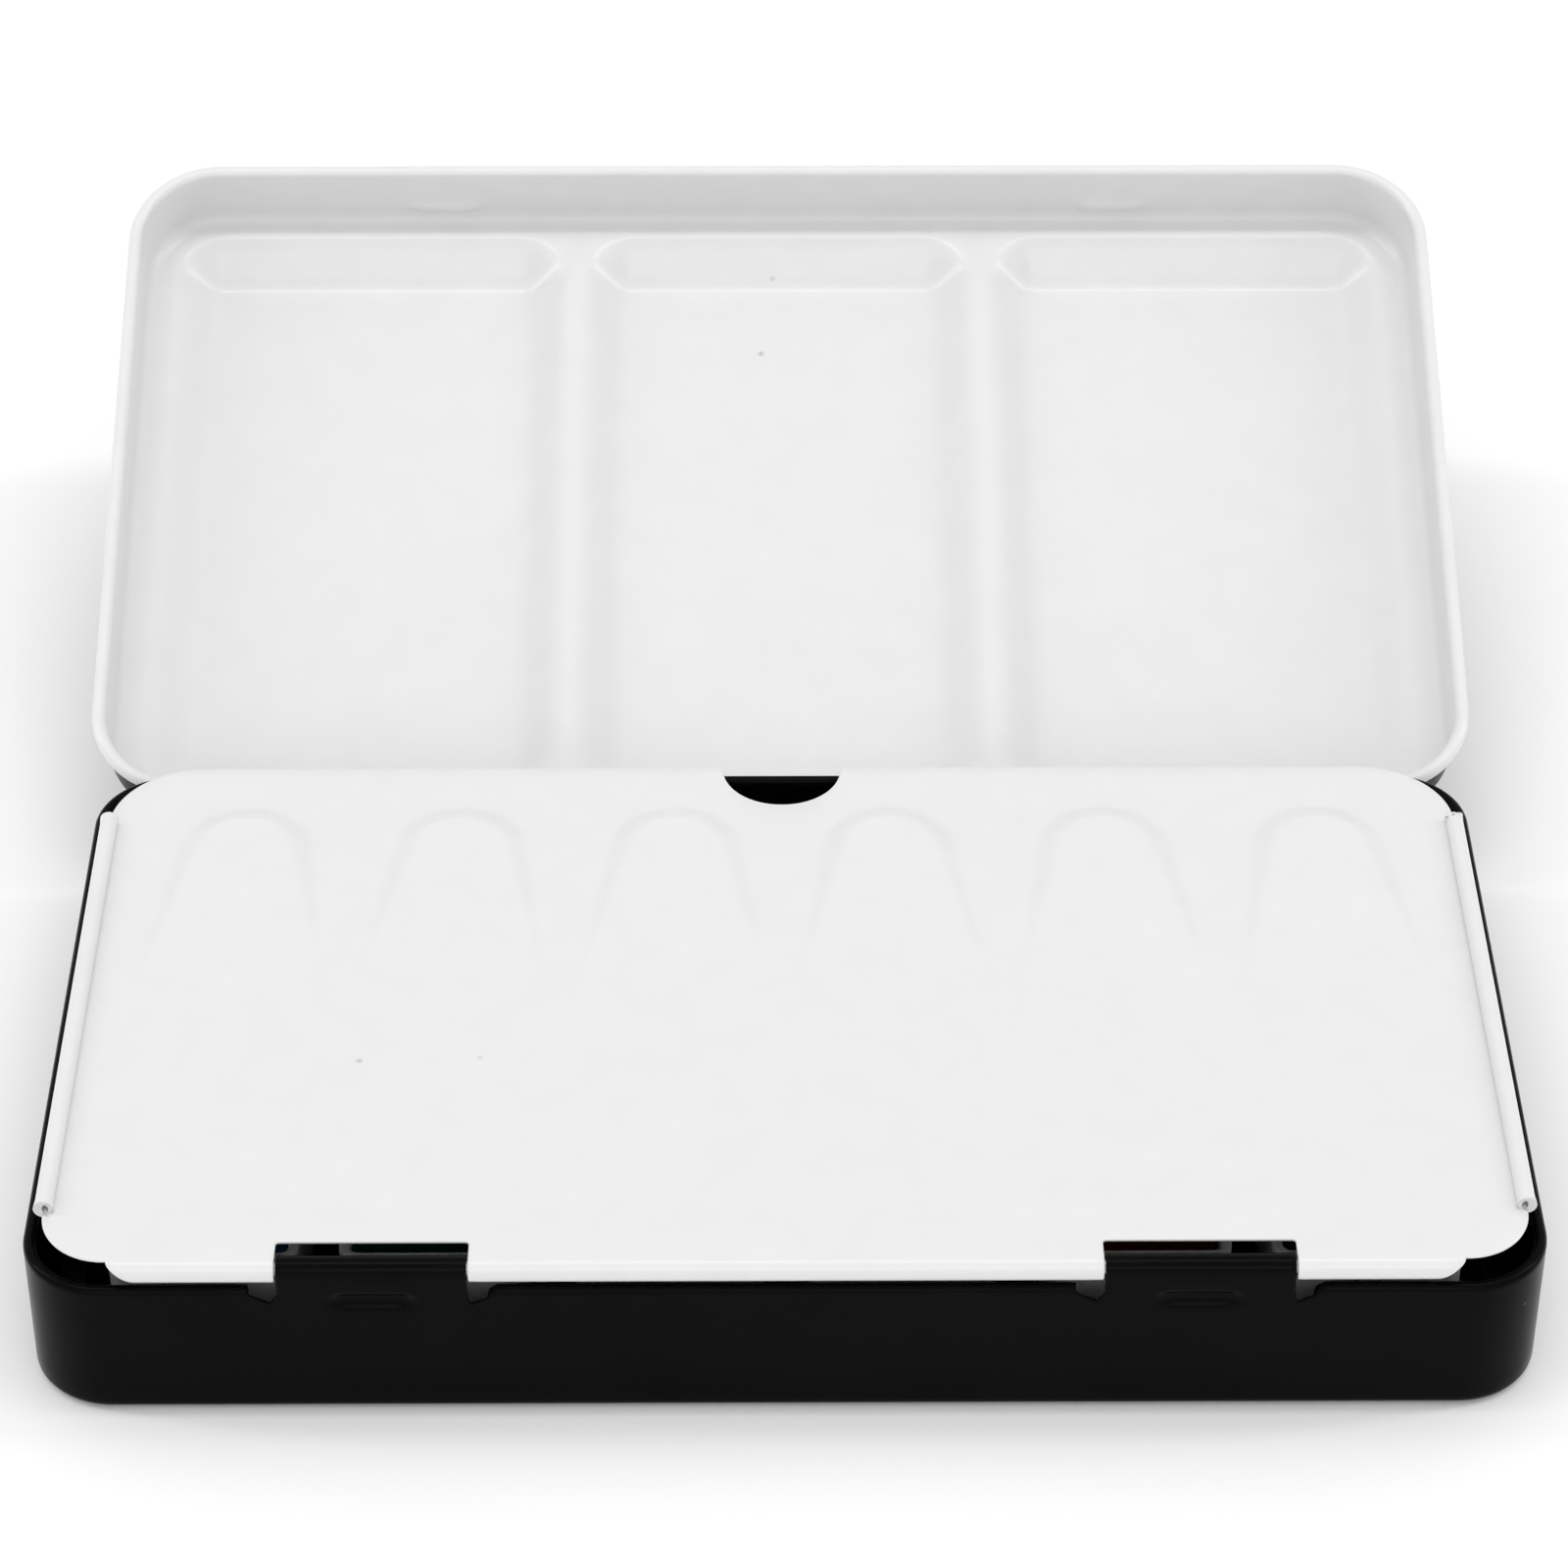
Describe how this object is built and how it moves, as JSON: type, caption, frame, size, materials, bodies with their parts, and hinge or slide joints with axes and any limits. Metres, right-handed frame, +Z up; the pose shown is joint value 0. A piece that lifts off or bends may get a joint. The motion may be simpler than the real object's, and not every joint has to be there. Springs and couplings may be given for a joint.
{
  "type": "watercolor pan set",
  "caption": "Folding metal watercolour tin with a mixing lid, a fold-out flap with sloped wells and half pans in a sheet holder.",
  "frame": {"origin": "centre of the tin's underside", "axes": "+X along the tin to the right, +Y from the front to the hinged rear, +Z up"},
  "size_m": [0.1298, 0.139, 0.039],
  "materials": {
    "black_enamel": "satin-gloss baked enamel",
    "white_enamel": "glossy baked enamel",
    "steel_wire": "drawn wire",
    "bright_steel": "nickel plated",
    "white_plastic": "moulded",
    "paint_lemon_yellow": "dried watercolour",
    "paint_warm_yellow": "dried watercolour",
    "paint_vermilion": "dried watercolour",
    "paint_crimson": "dried watercolour",
    "paint_violet": "dried watercolour",
    "paint_ultramarine": "dried watercolour",
    "paint_cerulean": "dried watercolour",
    "paint_viridian": "dried watercolour",
    "paint_sap_green": "dried watercolour",
    "paint_yellow_ochre": "dried watercolour",
    "paint_burnt_sienna": "dried watercolour",
    "paint_lamp_black": "dried watercolour"
  },
  "bodies": {
    "tin": {"base_tray": "black_enamel", "flap_hinge_wire": "steel_wire", "base_hinge_leaves": "black_enamel", "lid_hinge_pins": "steel_wire", "pan_holder": "black_enamel", "flap_rests": "black_enamel", "ring_strap": "bright_steel", "strap_rivets": "bright_steel"},
    "lid": {"lid": "white_enamel", "lid_hinge_leaves": "black_enamel"},
    "flap": {"mixing_flap": "white_enamel", "flap_barrel": "white_enamel"},
    "ring": {"thumb_ring": "bright_steel"},
    "pan_01": {"half_pan_01": "white_plastic", "paint_cake_01": "paint_cerulean"},
    "pan_02": {"half_pan_02": "white_plastic", "paint_cake_02": "paint_viridian"},
    "pan_03": {"half_pan_03": "white_plastic", "paint_cake_03": "paint_sap_green"},
    "pan_04": {"half_pan_04": "white_plastic", "paint_cake_04": "paint_yellow_ochre"},
    "pan_05": {"half_pan_05": "white_plastic", "paint_cake_05": "paint_burnt_sienna"},
    "pan_06": {"half_pan_06": "white_plastic", "paint_cake_06": "paint_lamp_black"},
    "pan_07": {"half_pan_07": "white_plastic", "paint_cake_07": "paint_lemon_yellow"},
    "pan_08": {"half_pan_08": "white_plastic", "paint_cake_08": "paint_warm_yellow"},
    "pan_09": {"half_pan_09": "white_plastic", "paint_cake_09": "paint_vermilion"},
    "pan_10": {"half_pan_10": "white_plastic", "paint_cake_10": "paint_crimson"},
    "pan_11": {"half_pan_11": "white_plastic", "paint_cake_11": "paint_violet"},
    "pan_12": {"half_pan_12": "white_plastic", "paint_cake_12": "paint_ultramarine"}
  },
  "joints": [
    {"name": "lid_hinge", "type": "hinge", "parent": "tin", "child": "lid", "pos_m": [0, 0.03575, 0.0113], "axis": [-1, 0, 0], "range_deg": [-157.6, 0]},
    {"name": "flap_hinge", "type": "hinge", "parent": "tin", "child": "flap", "pos_m": [0, -0.03345, 0.015], "axis": [1, 0, 0], "range_deg": [0, 180]},
    {"name": "ring_hinge", "type": "hinge", "parent": "tin", "child": "ring", "pos_m": [0, 0.0074, 0.00125], "axis": [-1, 0, 0], "range_deg": [0, 100]},
    {"name": "pan_01_lift", "type": "slide", "parent": "tin", "child": "pan_01", "axis": [0, 0, 1], "range_m": [0, 0.003]},
    {"name": "pan_02_lift", "type": "slide", "parent": "tin", "child": "pan_02", "axis": [0, 0, 1], "range_m": [0, 0.003]},
    {"name": "pan_03_lift", "type": "slide", "parent": "tin", "child": "pan_03", "axis": [0, 0, 1], "range_m": [0, 0.003]},
    {"name": "pan_04_lift", "type": "slide", "parent": "tin", "child": "pan_04", "axis": [0, 0, 1], "range_m": [0, 0.003]},
    {"name": "pan_05_lift", "type": "slide", "parent": "tin", "child": "pan_05", "axis": [0, 0, 1], "range_m": [0, 0.003]},
    {"name": "pan_06_lift", "type": "slide", "parent": "tin", "child": "pan_06", "axis": [0, 0, 1], "range_m": [0, 0.003]},
    {"name": "pan_07_lift", "type": "slide", "parent": "tin", "child": "pan_07", "axis": [0, 0, 1], "range_m": [0, 0.003]},
    {"name": "pan_08_lift", "type": "slide", "parent": "tin", "child": "pan_08", "axis": [0, 0, 1], "range_m": [0, 0.003]},
    {"name": "pan_09_lift", "type": "slide", "parent": "tin", "child": "pan_09", "axis": [0, 0, 1], "range_m": [0, 0.003]},
    {"name": "pan_10_lift", "type": "slide", "parent": "tin", "child": "pan_10", "axis": [0, 0, 1], "range_m": [0, 0.003]},
    {"name": "pan_11_lift", "type": "slide", "parent": "tin", "child": "pan_11", "axis": [0, 0, 1], "range_m": [0, 0.003]},
    {"name": "pan_12_lift", "type": "slide", "parent": "tin", "child": "pan_12", "axis": [0, 0, 1], "range_m": [0, 0.003]}
  ]
}
